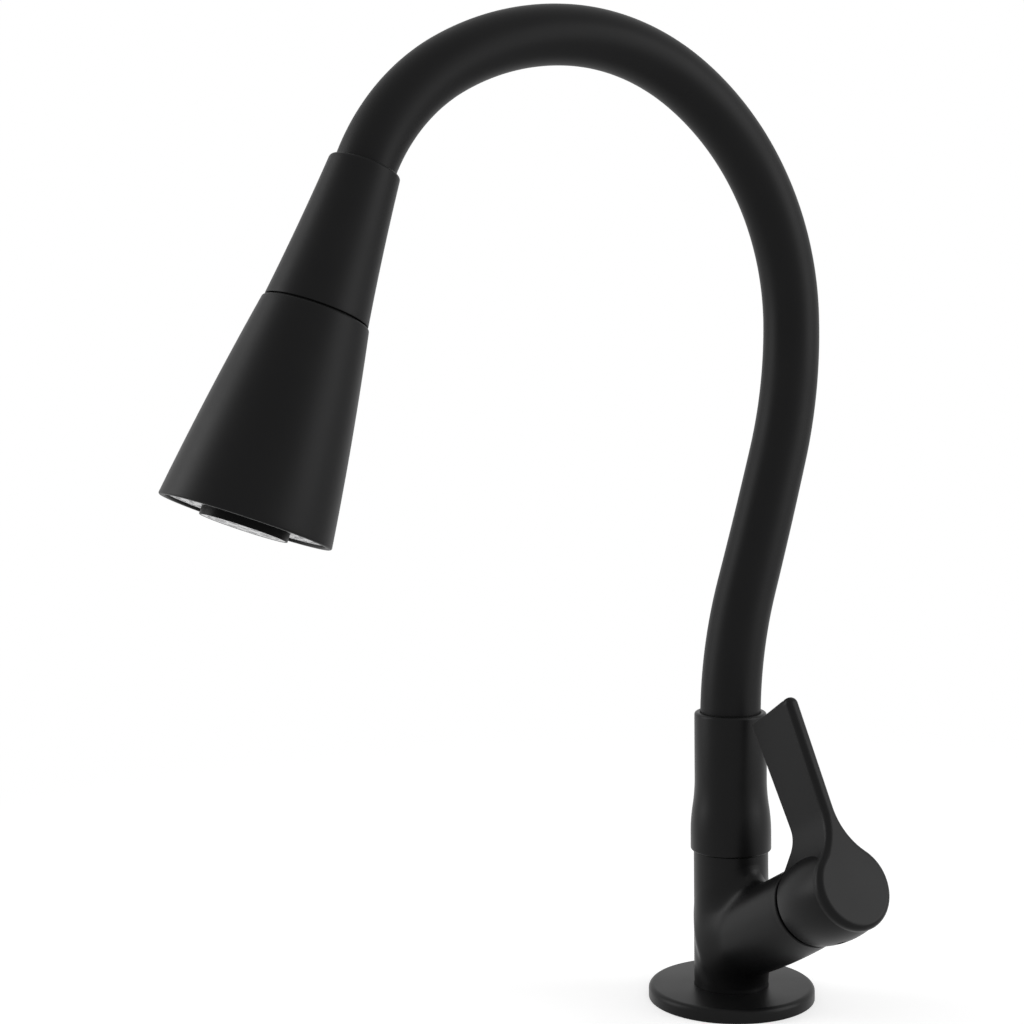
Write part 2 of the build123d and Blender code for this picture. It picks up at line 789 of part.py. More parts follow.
def head_lower_shell():
    land = lower_shell_top_radius - bearing_land_wall
    land_end = lower_shell_start + bearing_land_length
    middle_distance = (lower_shell_start + head_length) / 2
    middle_radius = lower_shell_radius(middle_distance) + lower_shell_bulge
    mouth_bore = head_mouth_radius - shell_wall
    top_corner = (lower_shell_top_radius, lower_shell_start)
    mouth_corner = (head_mouth_radius, head_length)
    inner_start = lower_shell_radius(land_end) - shell_wall
    outline = [
        Line((land, lower_shell_start), top_corner),
        ThreePointArc(top_corner, (middle_radius, middle_distance), mouth_corner),
        Line(mouth_corner, (mouth_bore, head_length)),
        Line((mouth_bore, head_length), (mouth_bore, plate_start)),
        Line((mouth_bore, plate_start), (inner_start, land_end)),
        Line((inner_start, land_end), (land, land_end)),
        Line((land, land_end), (land, lower_shell_start)),
    ]
    shell = turned(outline)
    circles = shell.edges().filter_by(GeomType.CIRCLE)
    top = circles.group_by(Axis.Z)[0].sort_by(SortBy.RADIUS)[-1]
    shell = fillet(top, lower_shell_top_fillet)
    mouth = shell.edges().filter_by(GeomType.CIRCLE).group_by(Axis.Z)[-1]
    return fillet(mouth, shell_mouth_fillet)


def spray_selector_disc():
    rim = lower_shell_radius(selector_start) - shell_wall - lower_shell_bulge
    plate = tube(rim, hub_radius - hub_wall, selector_start, selector_end)
    port = rod(port_radius, selector_start - overrun, selector_end + overrun)
    for side in (-1, 1):
        plate = plate - Pos(side * (hub_radius + port_radius), 0, 0) * port
    return plate


def spray_plate():
    outer = head_mouth_radius - shell_wall - slip_gap
    plate = tube(outer, hub_radius + slip_gap, plate_start, plate_end)
    for radius, count in zip(nozzle_rows, nozzle_counts):
        for spot in PolarLocations(radius, count):
            plate = plate - spot * rod(nozzle_radius, plate_start - overrun, plate_end + overrun)
    return plate


def hub_ring():
    return tube(hub_radius, hub_radius - hub_wall, selector_end, hub_end)


def aerator_insert():
    outer = hub_radius - hub_wall - slip_gap
    inner = outer - aerator_wall
    floor_low = aerator_end - aerator_floor_thickness
    insert = rod(outer, aerator_start, aerator_end) - rod(inner, aerator_start - overrun, floor_low)
    groove_floor = aerator_end - aerator_groove_depth
    insert = insert - tube(inner, inner - aerator_groove_width, groove_floor, aerator_end + overrun)
    window = rod(aerator_window_radius, floor_low - overrun, aerator_end + overrun)
    insert = insert - window
    for spot in PolarLocations(aerator_window_offset, aerator_window_count):
        insert = insert - spot * window
    return insert


def aerator_screen():
    outer = hub_radius - hub_wall - slip_gap - aerator_wall - slip_gap
    top = aerator_end - aerator_floor_thickness
    screen = rod(outer, top - screen_thickness, top)
    hole = rod(screen_hole_radius, top - screen_thickness - overrun, top + overrun)
    for ring, radius in enumerate(screen_hole_rows, start=1):
        for spot in PolarLocations(radius, ring * screen_holes_per_row):
            screen = screen - spot * hole
    return screen


def aerator_seal():
    outer = hub_radius - hub_wall - slip_gap
    return tube(outer, outer - aerator_wall, aerator_start - aerator_seal_thickness, aerator_start)


fixed_pieces = {
    "faucet_body": faucet_body(),
    "spout_lock_screw": spout_lock_screw(),
    "base_flange": base_flange(),
    "flange_gasket": flange_gasket(),
    "threaded_shank": threaded_shank(),
    "deck_rubber_washer": tube(washer_radius, washer_bore, rubber_washer_low, -deck_thickness),
    "deck_steel_washer": tube(washer_radius, washer_bore, steel_washer_low, rubber_washer_low),
    "fixing_nut": fixing_nut(),
    "cartridge_body": cartridge_body(),
    "cartridge_seat_seal": cartridge_seat_seal(),
    "ceramic_disc_fixed": ceramic_disc_fixed(),
}
lever_pieces = {
    "handle": handle(),
    "handle_set_screw": handle_set_screw(),
    "cartridge_stem": cartridge_stem(),
    "ceramic_disc_turning": ceramic_disc_turning(),
    "stem_o_ring": stem_o_ring(),
}
swivel_pieces = {
    "swivel_sleeve": swivel_sleeve(),
    "swivel_spigot": swivel_spigot(),
    "spigot_o_rings": Compound(children=spigot_o_rings()),
    "swivel_bearing_ring": swivel_bearing_ring(),
    "neck_lower_ferrule": neck_lower_ferrule(),
}
neck_pieces = {
    f"{name}_{index + 1}": neck_layer(index, *radii)
    for index in range(len(neck_turns))
    for name, radii in neck_layers.items()
}
head_builders = (
    neck_upper_ferrule,
    union_washer,
    hose_union_nut,
    head_core,
    head_upper_shell,
    shell_bearing_ring,
    head_lower_shell,
    spray_selector_disc,
    spray_plate,
    hub_ring,
    aerator_insert,
    aerator_screen,
    aerator_seal,
)
head_pieces = {builder.__name__: head_frame * builder() for builder in head_builders}

os.makedirs("parts", exist_ok=True)
for pieces in (fixed_pieces, lever_pieces, swivel_pieces, neck_pieces, head_pieces):
    for name, piece in pieces.items():
        export_step(piece, f"parts/{name}.step")
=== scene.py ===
import json
import math

import bpy
from mathutils import Matrix, Vector


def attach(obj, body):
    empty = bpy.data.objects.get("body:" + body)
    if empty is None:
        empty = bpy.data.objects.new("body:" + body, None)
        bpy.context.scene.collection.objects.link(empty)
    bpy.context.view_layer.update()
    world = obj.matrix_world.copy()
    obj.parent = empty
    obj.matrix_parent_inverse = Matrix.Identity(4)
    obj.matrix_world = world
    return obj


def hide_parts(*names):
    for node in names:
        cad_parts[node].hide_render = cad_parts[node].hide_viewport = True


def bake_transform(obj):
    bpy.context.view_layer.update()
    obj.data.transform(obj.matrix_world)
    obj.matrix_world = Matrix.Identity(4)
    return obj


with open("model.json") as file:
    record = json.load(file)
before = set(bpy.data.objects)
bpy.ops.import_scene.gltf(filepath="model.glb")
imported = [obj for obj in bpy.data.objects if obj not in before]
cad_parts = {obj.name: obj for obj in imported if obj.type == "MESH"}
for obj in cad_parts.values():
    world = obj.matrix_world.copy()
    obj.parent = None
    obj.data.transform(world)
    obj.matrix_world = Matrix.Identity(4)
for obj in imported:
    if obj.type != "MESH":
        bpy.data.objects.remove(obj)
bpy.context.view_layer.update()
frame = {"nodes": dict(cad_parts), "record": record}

# Flexible kitchen faucet, in metres, in the frame of the CAD model: the origin is the centre of the flange's
# underside, +Z is up, the spout reaches along -Y and the lever's barrel along +X.

MM = 0.001
nodes = frame["nodes"]

# Sizes of the visible pieces in millimetres, as in the CAD model
slip_gap = 0.1
free_gap = 0.3
flange_radius = 30.0
flange_height = 5.0
flange_edge_radius = 1.9
flange_foot_radius = 0.3
gasket_outer_radius = 27.0
gasket_inner_radius = 23.5
gasket_thickness = 1.2
column_radius = 13.4
column_height = 54.404
barrel_axis_height = 20.5
barrel_elevation = math.radians(28)
barrel_root_radius = 13.0
barrel_radius = 14.25
barrel_length = 51.2
sleeve_foot_radius = 14.5
sleeve_top_radius = 12.95
sleeve_length = 50.2
sleeve_step_start = 6.0
sleeve_step_end = 26.0
sleeve_foot_edge = 0.7
sleeve_top_fillet = 1.1
sleeve_bore_radius = 11.3
hose_radius = 10.0
hose_foot_radius = 10.85
hose_taper_pieces = 3
neck_start_recess = 2.9
neck_foot_length = 14.0
neck_piece_length = 48.68
neck_turns = (17.7, -1.8, -17.2, -27.9, -28.1, -33, -28.7, -39.5)
head_overlap = 2.4
head_top_radius = 11.7
head_seam_radius = 17.0
head_seam_distance = 48.8
head_top_fillet = 1.2
upper_shell_hollow = 0.3
shell_wall = 2.2
head_seam_gap = 0.5
seam_edge_radius = 0.25
seam_lip_wall = 0.8
seam_lip_gap = 0.02
lower_shell_top_radius = 17.5
lower_shell_top_fillet = 0.9
head_mouth_radius = 28.05
head_length = 118.6
lower_shell_bulge = 0.5
shell_mouth_fillet = 0.6
bearing_land_length = 7.0
bearing_land_wall = 2.6
plate_recess = 1.0
plate_thickness = 2.6
hub_radius = 14.3
hub_wall = 0.6
hub_proud = 1.95
hub_edge_radius = 0.2
nozzle_rows = (18.0, 22.4)
nozzle_counts = (20, 26)
nozzle_radius = 0.8
nozzle_tip_share = 0.85
nozzle_proud = 0.25

# Heights and distances worked out from them
sleeve_low = column_height + free_gap
sleeve_high = sleeve_low + sleeve_length
neck_start_height = sleeve_high - neck_start_recess
neck_foot_height = neck_start_height - neck_foot_length
lower_shell_start = head_seam_distance + head_seam_gap
plate_end = head_length - plate_recess
plate_start = plate_end - plate_thickness
hub_end = head_length + hub_proud
neck_length = neck_piece_length * len(neck_turns)

# Cast skin in millimetres. Swelling of the barrel's underside, and the run over which it grows from the mouth
keel_depth = 1.85
keel_run = 34.0
# Softness of the turn from column to barrel at the sides and on top, and the rise where the top's begins
blend_side = 5.0
blend_top = 8.5
blend_rise_share = 0.6
# Height over the CAD body, dip below it at the skin's ends, the run between them, and depth of the inner side
skin_lift = 0.03
skin_dip = 0.06
skin_fade = 3.0
skin_backing = 0.3
# Start back from the mouth, and reach over the column below, beside and above the barrel
skin_start = 0.6
column_reach_low = 4.8
column_reach_side = 16.5
column_reach_top = 10.0

# Reach and fineness of the neck's skin in millimetres
neck_skin_below = 10.0
neck_skin_above = 8.0
neck_ring_spacing = 1.2
neck_sides = 96

# Looks: the scales and detail of the noise, the part of its range that is used, and the drifts made from it
slow_scale = 35.0
slow_detail = 4.0
fine_detail = 2.0
plain_detail = 3.0
noise_roughness = 0.55
noise_low = 0.3
noise_high = 0.7
coat_gloss_drift = 0.03
plain_gloss_drift = 0.05
plain_dark_share = 0.88

# The photograph's viewing angle in degrees, the camera's place in millimetres and its focal length in the
# photograph's pixels
camera_azimuth = 60
camera_pitch = 4.8
camera_roll = 0.75
camera_place = (560.9, -413.4, 236.0)
focal_pixels = 1950
picture_pixels = 1024
sensor_width = 36

# Light and background: strengths, sizes and distances in metres
floor_size = 3.0
floor_tone = 0.8
floor_glow = 0.5
floor_fade = (0.08, 0.5)
background_white = 1.0
world_on_object = 0.5
lamp_target = (0, 0, 0.15)
lamps = {
    "lamp_left": {"place": (-0.72, -1.02, 0.5), "size": (0.6, 1.1), "power": 7},
    "lamp_right": {"place": (0.9, 0.88, 0.5), "size": (0.8, 1.1), "power": 9},
}


# Mesh helpers
def mesh_object(name, points, faces, smooth_angle=35):
    """A new object from points in metres, smooth except across edges sharper than the angle."""
    mesh = bpy.data.meshes.new(name)
    mesh.from_pydata([tuple(point) for point in points], [], faces)
    mesh.validate()
    mesh.shade_smooth()
    mesh.set_sharp_from_angle(angle=math.radians(smooth_angle))
    made = bpy.data.objects.new(name, mesh)
    bpy.context.scene.collection.objects.link(made)
    return made


def rounded(corners, radii, steps=6, straight=1e-4):
    """A polyline whose corners are rounded by tangent arcs; a radius of zero leaves the corner sharp."""
    count = len(corners)
    made = []
    for index, (corner, radius) in enumerate(zip(corners, radii)):
        here = Vector(corner)
        before = (Vector(corners[index - 1]) - here).normalized()
        after = (Vector(corners[(index + 1) % count]) - here).normalized()
        angle = before.angle(after)
        if radius == 0 or abs(math.pi - angle) < straight:
            made.append(here)
            continue
        reach = radius / math.tan(angle / 2)
        centre = here + (before + after).normalized() * (radius / math.sin(angle / 2))
        start = here + before * reach - centre
        end = here + after * reach - centre
        sweep = start.angle(end)
        for step in range(steps + 1):
            share = step / steps
            weight_start = math.sin((1 - share) * sweep) / math.sin(sweep)
            weight_end = math.sin(share * sweep) / math.sin(sweep)
            made.append(centre + start * weight_start + end * weight_end)
    return made


def turned_shell(outline, matrix, segments):
    """Points and faces turned about the matrix's z axis from a closed (radius, height) outline."""
    points = []
    for radius, height in outline:
        for index in range(segments):
            angle = 2 * math.pi * index / segments
            local = Vector((radius * math.cos(angle), radius * math.sin(angle), height)) * MM
            points.append(matrix @ local)
    faces = []
    for ring in range(len(outline)):
        low = ring * segments
        high = (ring + 1) % len(outline) * segments
        for index in range(segments):
            beside = (index + 1) % segments
            faces.append((low + index, low + beside, high + beside, high + index))
    return points, faces


def turned(name, outline, matrix=Matrix.Identity(4), segments=160):
    """A turned piece from a closed outline of (radius, height) in millimetres."""
    return mesh_object(name, *turned_shell(outline, matrix, segments))


# The neck's centre line
def neck_arc_end(start, heading, length, turn):
    """The end of an arc in the neck's plane, as (y, z) in millimetres."""
    half = math.radians(turn) / 2
    chord = length * (math.sin(half) / half if half else 1)
    middle = math.radians(heading + turn / 2)
    return (start[0] + chord * math.sin(middle), start[1] + chord * math.cos(middle))


neck_points = [(0.0, neck_start_height)]
neck_headings = [0.0]
for neck_turn in neck_turns:
    neck_points.append(neck_arc_end(neck_points[-1], neck_headings[-1], neck_piece_length, neck_turn))
    neck_headings.append(neck_headings[-1] + neck_turn)


def neck_place(distance):
    """Centre and heading of the neck at a distance along it, straight past both of its ends."""
    if distance <= 0:
        return (0.0, neck_start_height + distance), 0.0
    if distance >= neck_length:
        angle = math.radians(neck_headings[-1])
        end = neck_points[-1]
        past = distance - neck_length
        return (end[0] + past * math.sin(angle), end[1] + past * math.cos(angle)), neck_headings[-1]
    index = int(distance / neck_piece_length)
    inside = distance - index * neck_piece_length
    turn = neck_turns[index] * inside / neck_piece_length
    return neck_arc_end(neck_points[index], neck_headings[index], inside, turn), neck_headings[index] + turn


def frame_matrix(point, heading):
    """The matrix whose z axis runs along a heading of the neck's plane, from (y, z) in millimetres."""
    angle = math.radians(heading)
    along = Vector((0, math.sin(angle), math.cos(angle)))
    across = Vector((1, 0, 0))
    made = Matrix((across, along.cross(across), along)).transposed().to_4x4()
    made.translation = Vector((0, point[0], point[1])) * MM
    return made


head_start = neck_arc_end(neck_points[-1], neck_headings[-1], -head_overlap, 0)
head_matrix = frame_matrix(head_start, neck_headings[-1])


# Materials
def principled(name, color, roughness, **sockets):
    """A material whose constant values sit on the shader's own sockets."""
    material = bpy.data.materials.new(name)
    material.use_nodes = True
    shader = material.node_tree.nodes["Principled BSDF"]
    shader.inputs["Base Color"].default_value = (*color, 1)
    shader.inputs["Roughness"].default_value = roughness
    for socket, value in sockets.items():
        shader.inputs[socket.replace("_", " ")].default_value = value
    return material


def mapped_noise(material, scale, detail, rest=False):
    """Noise over the piece's own coordinates, or over its rest places where the piece bends."""
    tree = material.node_tree
    noise = tree.nodes.new("ShaderNodeTexNoise")
    noise.inputs["Scale"].default_value = scale
    noise.inputs["Detail"].default_value = detail
    noise.inputs["Roughness"].default_value = noise_roughness
    if rest:
        source = tree.nodes.new("ShaderNodeAttribute")
        source.attribute_name = "rest_place"
        tree.links.new(source.outputs["Vector"], noise.inputs["Vector"])
    else:
        source = tree.nodes.new("ShaderNodeTexCoord")
        tree.links.new(source.outputs["Object"], noise.inputs["Vector"])
    return noise


def gloss_variation(material, source, roughness, drift):
    """Roughness that drifts evenly to either side of its value."""
    tree = material.node_tree
    spread = tree.nodes.new("ShaderNodeMapRange")
    spread.inputs["To Min"].default_value = roughness - drift
    spread.inputs["To Max"].default_value = roughness + drift
    spread.inputs["From Min"].default_value = noise_low
    spread.inputs["From Max"].default_value = noise_high
    tree.links.new(source, spread.inputs["Value"])
    tree.links.new(spread.outputs["Result"], tree.nodes["Principled BSDF"].inputs["Roughness"])


def shade_variation(material, source, dark, light):
    """Base colour that drifts between two close tones."""
    tree = material.node_tree
    ramp = tree.nodes.new("ShaderNodeValToRGB")
    ramp.color_ramp.elements[0].position = noise_low
    ramp.color_ramp.elements[0].color = (*dark, 1)
    ramp.color_ramp.elements[1].position = noise_high
    ramp.color_ramp.elements[1].color = (*light, 1)
    tree.links.new(source, ramp.inputs["Fac"])
    tree.links.new(ramp.outputs["Color"], tree.nodes["Principled BSDF"].inputs["Base Color"])


def bumped(material, source, depth):
    """Bump of a real depth in metres."""
    tree = material.node_tree
    bump = tree.nodes.new("ShaderNodeBump")
    bump.inputs["Distance"].default_value = depth
    bump.inputs["Strength"].default_value = 1
    tree.links.new(source, bump.inputs["Height"])
    tree.links.new(bump.outputs["Normal"], tree.nodes["Principled BSDF"].inputs["Normal"])


def black_finish(name, dark, light, roughness, grain, depth, specular, rest=False):
    """A matte black finish with a fine grain, slow drifts of tone and small changes of gloss."""
    material = principled(name, light, roughness, Specular_IOR_Level=specular)
    slow = mapped_noise(material, slow_scale, slow_detail, rest)
    fine = mapped_noise(material, grain, fine_detail, rest)
    shade_variation(material, slow.outputs["Fac"], dark, light)
    gloss_variation(material, slow.outputs["Fac"], roughness, coat_gloss_drift)
    bumped(material, fine.outputs["Fac"], depth)
    return material


powder_coat = black_finish(
    "powder_coat",
    dark=(0.0035, 0.0035, 0.0036),
    light=(0.0048, 0.0048, 0.005),
    roughness=0.37,
    grain=2600.0,
    depth=0.000012,
    specular=0.13,
)
silicone = black_finish(
    "silicone",
    dark=(0.0042, 0.0042, 0.0044),
    light=(0.0056, 0.0056, 0.0058),
    roughness=0.46,
    grain=3200.0,
    depth=0.000012,
    specular=0.11,
    rest=True,
)
head_plastic = black_finish(
    "head_plastic",
    dark=(0.0042, 0.0042, 0.0044),
    light=(0.0058, 0.0058, 0.006),
    roughness=0.44,
    grain=3000.0,
    depth=0.00001,
    specular=0.11,
)
hub_plastic = black_finish(
    "hub_plastic",
    dark=(0.0025, 0.0025, 0.0026),
    light=(0.0035, 0.0035, 0.0036),
    roughness=0.34,
    grain=3000.0,
    depth=0.00001,
    specular=0.05,
)


def plain_finish(name, color, roughness, grain, depth, **sockets):
    """A finish with one grain for its tone, gloss and bump."""
    material = principled(name, color, roughness, **sockets)
    noise = mapped_noise(material, grain, plain_detail)
    darker = tuple(channel * plain_dark_share for channel in color)
    shade_variation(material, noise.outputs["Fac"], darker, color)
    gloss_variation(material, noise.outputs["Fac"], roughness, plain_gloss_drift)
    bumped(material, noise.outputs["Fac"], depth)
    return material


# Each plain finish: name, colour, roughness, scale of the grain and its depth in metres
plate_grey = plain_finish("plate_grey", (0.6, 0.6, 0.605), 0.38, 700.0, 0.000008)
nozzle_rubber = plain_finish("nozzle_rubber", (0.55, 0.55, 0.555), 0.5, 1500.0, 0.00001)
brass = plain_finish("brass", (0.68, 0.5, 0.24), 0.3, 900.0, 0.000006, Metallic=1.0)
steel = plain_finish("steel", (0.56, 0.56, 0.57), 0.28, 900.0, 0.000004, Metallic=1.0)
ceramic = plain_finish("ceramic", (0.82, 0.82, 0.8), 0.12, 400.0, 0.000001)
seal_rubber = plain_finish("seal_rubber", (0.015, 0.015, 0.015), 0.55, 1500.0, 0.00001)
white_plastic = plain_finish("white_plastic", (0.72, 0.72, 0.7), 0.4, 600.0, 0.000005)

slot_materials = {
    "black_metal": powder_coat,
    "black_silicone": silicone,
    "black_plastic": head_plastic,
    "brass": brass,
    "steel": steel,
    "ceramic": ceramic,
    "seal_rubber": seal_rubber,
    "hose_rubber": seal_rubber,
    "white_plastic": white_plastic,
    "grey_plastic": plate_grey,
}


def dress(piece, material):
    """Gives a piece its one material."""
    piece.data.materials.clear()
    piece.data.materials.append(material)


for part in frame["record"]["subparts"]:
    dress(nodes[part["node"]], slot_materials[part["material_slot"]])


def finished(piece, body, material, slot, *replaced):
    """Gives a new piece its body and material, and hides the CAD nodes that it stands for, if any. The slot
    is not used.
    """
    dress(piece, material)
    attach(piece, body)
    if replaced:
        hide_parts(*replaced)


# Neck skin, whose pieces each run from the middle of one length to the middle of the next
def neck_ring(distance):
    """Points of the hose's skin round its centre line at one distance."""
    place, heading = neck_place(distance)
    matrix = frame_matrix(place, heading)
    share = min(1, max(0, 1 - distance / (hose_taper_pieces * neck_piece_length)))
    radius = hose_radius + (hose_foot_radius - hose_radius) * share
    ring = []
    for side in range(neck_sides):
        angle = 2 * math.pi * side / neck_sides
        ring.append(matrix @ (Vector((math.cos(angle), math.sin(angle), 0)) * radius * MM))
    return ring


def build_neck():
    """One skin across each pivot, over the lengths that meet there."""
    half = neck_piece_length / 2
    pivots = len(neck_turns) - 1
    for pivot in range(1, pivots + 1):
        middle = pivot * neck_piece_length
        start = -neck_skin_below if pivot == 1 else middle - half
        end = neck_length + neck_skin_above if pivot == pivots else middle + half
        count = round((end - start) / neck_ring_spacing)
        points = []
        for ring in range(count + 1):
            points.extend(neck_ring(start + (end - start) * ring / count))
        faces = []
        for low in range(0, count * neck_sides, neck_sides):
            high = low + neck_sides
            for side in range(neck_sides):
                beside = (side + 1) % neck_sides
                faces.append((low + side, low + beside, high + beside, high + side))
        piece = mesh_object(f"neck_skin_{pivot}", points, faces, smooth_angle=180)
        rest = piece.data.attributes.new("rest_place", "FLOAT_VECTOR", "POINT")
        rest.data.foreach_set("vector", [value for point in points for value in point])
        dress(piece, silicone)
        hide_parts(f"neck_sleeve_{pivot}", f"neck_sleeve_{pivot + 1}")
        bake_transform(piece)


build_neck()


# Turned pieces: flange, sleeve, the shells of the head, its hub and the nozzles
def s_curve(start, end, steps=16):
    """Two arcs of one radius that leave start and reach end straight up, as (radius, height) points."""
    width = (end[0] - start[0]) / 2
    height = (end[1] - start[1]) / 2
    radius = (width**2 + height**2) / (2 * abs(width))
    way = math.copysign(1, width)
    made = []
    for step in range(2 * steps + 1):
        rise = height * step / steps
        if step <= steps:
            made.append((start[0] + way * (radius - math.sqrt(radius**2 - rise**2)), start[1] + rise))
        else:
            left = 2 * height - rise
            made.append((end[0] - way * (radius - math.sqrt(radius**2 - left**2)), start[1] + rise))
    return made


def bowed(start, end, bulge, steps=24):
    """Points from start to end along a shallow curve that stands off its chord by the bulge in the middle."""
    made = []
    for step in range(steps + 1):
        share = step / steps
        radius = start[0] + (end[0] - start[0]) * share + 4 * bulge * share * (1 - share)
        made.append((radius, start[1] + (end[1] - start[1]) * share))
    return made


def outlined(*runs):
    """One rounded outline from (points, corner radius) runs, each radius for every point of its run."""
    corners = [point for points, _ in runs for point in points]
    radii = [radius for points, radius in runs for _ in points]
    return rounded(corners, radii)


def build_flange():
    bore = column_radius + slip_gap
    groove_out = gasket_outer_radius + slip_gap
    groove_in = gasket_inner_radius - slip_gap
    groove_top = gasket_thickness + slip_gap
    outline = outlined(
        ([(bore, flange_height), (bore, 0), (groove_in, 0), (groove_in, groove_top)], 0),
        ([(groove_out, groove_top), (groove_out, 0)], 0),
        ([(flange_radius, 0)], flange_foot_radius),
        ([(flange_radius, flange_height)], flange_edge_radius),
    )
    finished(turned("flange", outline, segments=240), "base", powder_coat, "black_metal", "base_flange")


def build_sleeve():
    lip = hose_foot_radius + slip_gap
    step_low = (sleeve_foot_radius, sleeve_low + sleeve_step_start)
    step_high = (sleeve_top_radius, sleeve_low + sleeve_step_end)
    outline = outlined(
        ([(sleeve_bore_radius, neck_foot_height), (sleeve_bore_radius, sleeve_low)], 0),
        ([(sleeve_foot_radius, sleeve_low)], sleeve_foot_edge),
        (s_curve(step_low, step_high), 0),
        ([(sleeve_top_radius, sleeve_high)], sleeve_top_fillet),
        ([(lip, sleeve_high)], seam_edge_radius),
        ([(lip, neck_foot_height)], 0),
    )
    finished(turned("sleeve", outline), "swivel", powder_coat, "black_metal", "swivel_sleeve")


def build_upper_shell():
    lip = hose_radius + slip_gap
    top = (head_top_radius, 0)
    seam = (head_seam_radius, head_seam_distance)
    slope = (head_seam_radius - head_top_radius) / head_seam_distance
    cone_start = (lip + shell_wall - head_top_radius) / slope
    outline = outlined(
        ([(lip, cone_start), (lip, 0)], 0),
        ([top], head_top_fillet),
        (bowed(top, seam, -upper_shell_hollow)[1:-1], 0),
        ([seam], seam_edge_radius),
        ([(head_seam_radius - shell_wall, head_seam_distance)], 0),
    )
    piece = turned("upper_shell", outline, head_matrix)
    finished(piece, "head", head_plastic, "black_plastic", "head_upper_shell")


def build_lower_shell():
    land = lower_shell_top_radius - bearing_land_wall
    land_end = lower_shell_start + bearing_land_length
    top = (lower_shell_top_radius, lower_shell_start)
    mouth = (head_mouth_radius, head_length)
    bore = head_mouth_radius - shell_wall
    lip_end = head_seam_distance + seam_lip_gap
    outline = outlined(
        ([(land, land_end), (land, lip_end), (land + seam_lip_wall, lip_end)], 0),
        ([(land + seam_lip_wall, lower_shell_start)], 0),
        ([top], lower_shell_top_fillet),
        (bowed(top, mouth, lower_shell_bulge)[1:-1], 0),
        ([mouth, (bore, head_length)], shell_mouth_fillet),
        ([(bore, plate_start)], 0),
    )
    piece = turned("lower_shell", outline, head_matrix, segments=200)
    finished(piece, "head_shell", head_plastic, "black_plastic", "head_lower_shell")


def build_hub():
    bore = hub_radius - hub_wall
    outline = outlined(
        ([(bore, plate_start), (hub_radius, plate_start)], 0),
        ([(hub_radius, hub_end), (bore, hub_end)], hub_edge_radius),
    )
    finished(turned("hub", outline, head_matrix), "head_shell", hub_plastic, "black_plastic", "hub_ring")


def build_nozzles(segments=20):
    """Small rubber nozzles that stand in the holes of the spray plate, as one piece."""
    tip = plate_end + nozzle_proud
    outline = [
        (nozzle_radius / 2, plate_start),
        (nozzle_radius, plate_start),
        (nozzle_radius, plate_end),
        (nozzle_radius * nozzle_tip_share, tip),
        (nozzle_radius / 2, tip),
    ]
    points = []
    faces = []
    for radius, count in zip(nozzle_rows, nozzle_counts):
        for index in range(count):
            angle = 2 * math.pi * index / count
            offset = Vector((radius * math.cos(angle), radius * math.sin(angle), 0)) * MM
            matrix = head_matrix @ Matrix.Translation(offset)
            nozzle_points, nozzle_faces = turned_shell(outline, matrix, segments)
            start = len(points)
            points.extend(nozzle_points)
            faces.extend([start + corner for corner in face] for face in nozzle_faces)
    finished(mesh_object("nozzles", points, faces), "head_shell", nozzle_rubber, "grey_plastic")


# Cast skin of the body, which carries the barrel into the column in one soft curve
def eased(value, low, high):
    """A smooth step from zero at low to one at high."""
    share = min(1, max(0, (value - low) / (high - low)))
    return share * share * (3 - 2 * share)


def plain_radius(along):
    """The barrel's radius at a distance along its axis from the column's axis."""
    return barrel_root_radius + (barrel_radius - barrel_root_radius) * along / barrel_length


def full_radius(along, low_share):
    """The barrel's radius with the swelling of its underside, which grows back from the mouth."""
    left = 1 - min(1, max(0, (barrel_length - along) / keel_run))
    return plain_radius(along) + keel_depth * max(0, low_share) ** 2 * (1 - left**2)


def body_depth(place):
    """Distance in millimetres outside the soft union of the column and the barrel."""
    column = math.hypot(place.x, place.y) - column_radius
    rise = place.z - barrel_axis_height
    along = place.x * math.cos(barrel_elevation) + rise * math.sin(barrel_elevation)
    low = place.x * math.sin(barrel_elevation) - rise * math.cos(barrel_elevation)
    across = math.hypot(place.y, low)
    low_share = low / max(across, slip_gap)
    barrel = across - full_radius(along, low_share)
    if along < 0:
        barrel = math.hypot(max(0, barrel), along)
    softness = blend_side + (blend_top - blend_side) * eased(-low_share, blend_rise_share, 1)
    overlap = max(0, softness - abs(column - barrel))
    return min(column, barrel) - overlap**2 / (4 * softness)


def on_skin(place, step=0.01, rounds=4):
    """The nearest place on the soft union, with the way out of it."""
    ways = (Vector((step, 0, 0)), Vector((0, step, 0)), Vector((0, 0, step)))
    for _ in range(rounds):
        depth = body_depth(place)
        slope = Vector([(body_depth(place + way) - depth) / step for way in ways])
        place = place - slope * (depth / slope.length_squared)
    return place, slope.normalized()


def barrel_place(along, angle, radius):
    """A place round the barrel's axis; the angle is zero on the underside."""
    low = radius * math.cos(angle)
    x = along * math.cos(barrel_elevation) + low * math.sin(barrel_elevation)
    z = barrel_axis_height + along * math.sin(barrel_elevation) - low * math.cos(barrel_elevation)
    return Vector((x, radius * math.sin(angle), z))


def column_place(flat, radius):
    """A place on the column from its unrolled side, as (length round it, height)."""
    angle = flat.x / column_radius
    return Vector((radius * math.cos(angle), radius * math.sin(angle), flat.y))


def barrel_junction(angle, rounds=6):
    """Distance along the barrel at which its side meets the column, and where that is when unrolled."""
    along = 0
    for _ in range(rounds):
        radius = full_radius(along, math.cos(angle))
        reach = math.sqrt(column_radius**2 - (radius * math.sin(angle)) ** 2)
        along = (reach - radius * math.cos(angle) * math.sin(barrel_elevation)) / math.cos(barrel_elevation)
    place = barrel_place(along, angle, radius)
    return along, Vector((column_radius * math.atan2(place.y, place.x), place.z))


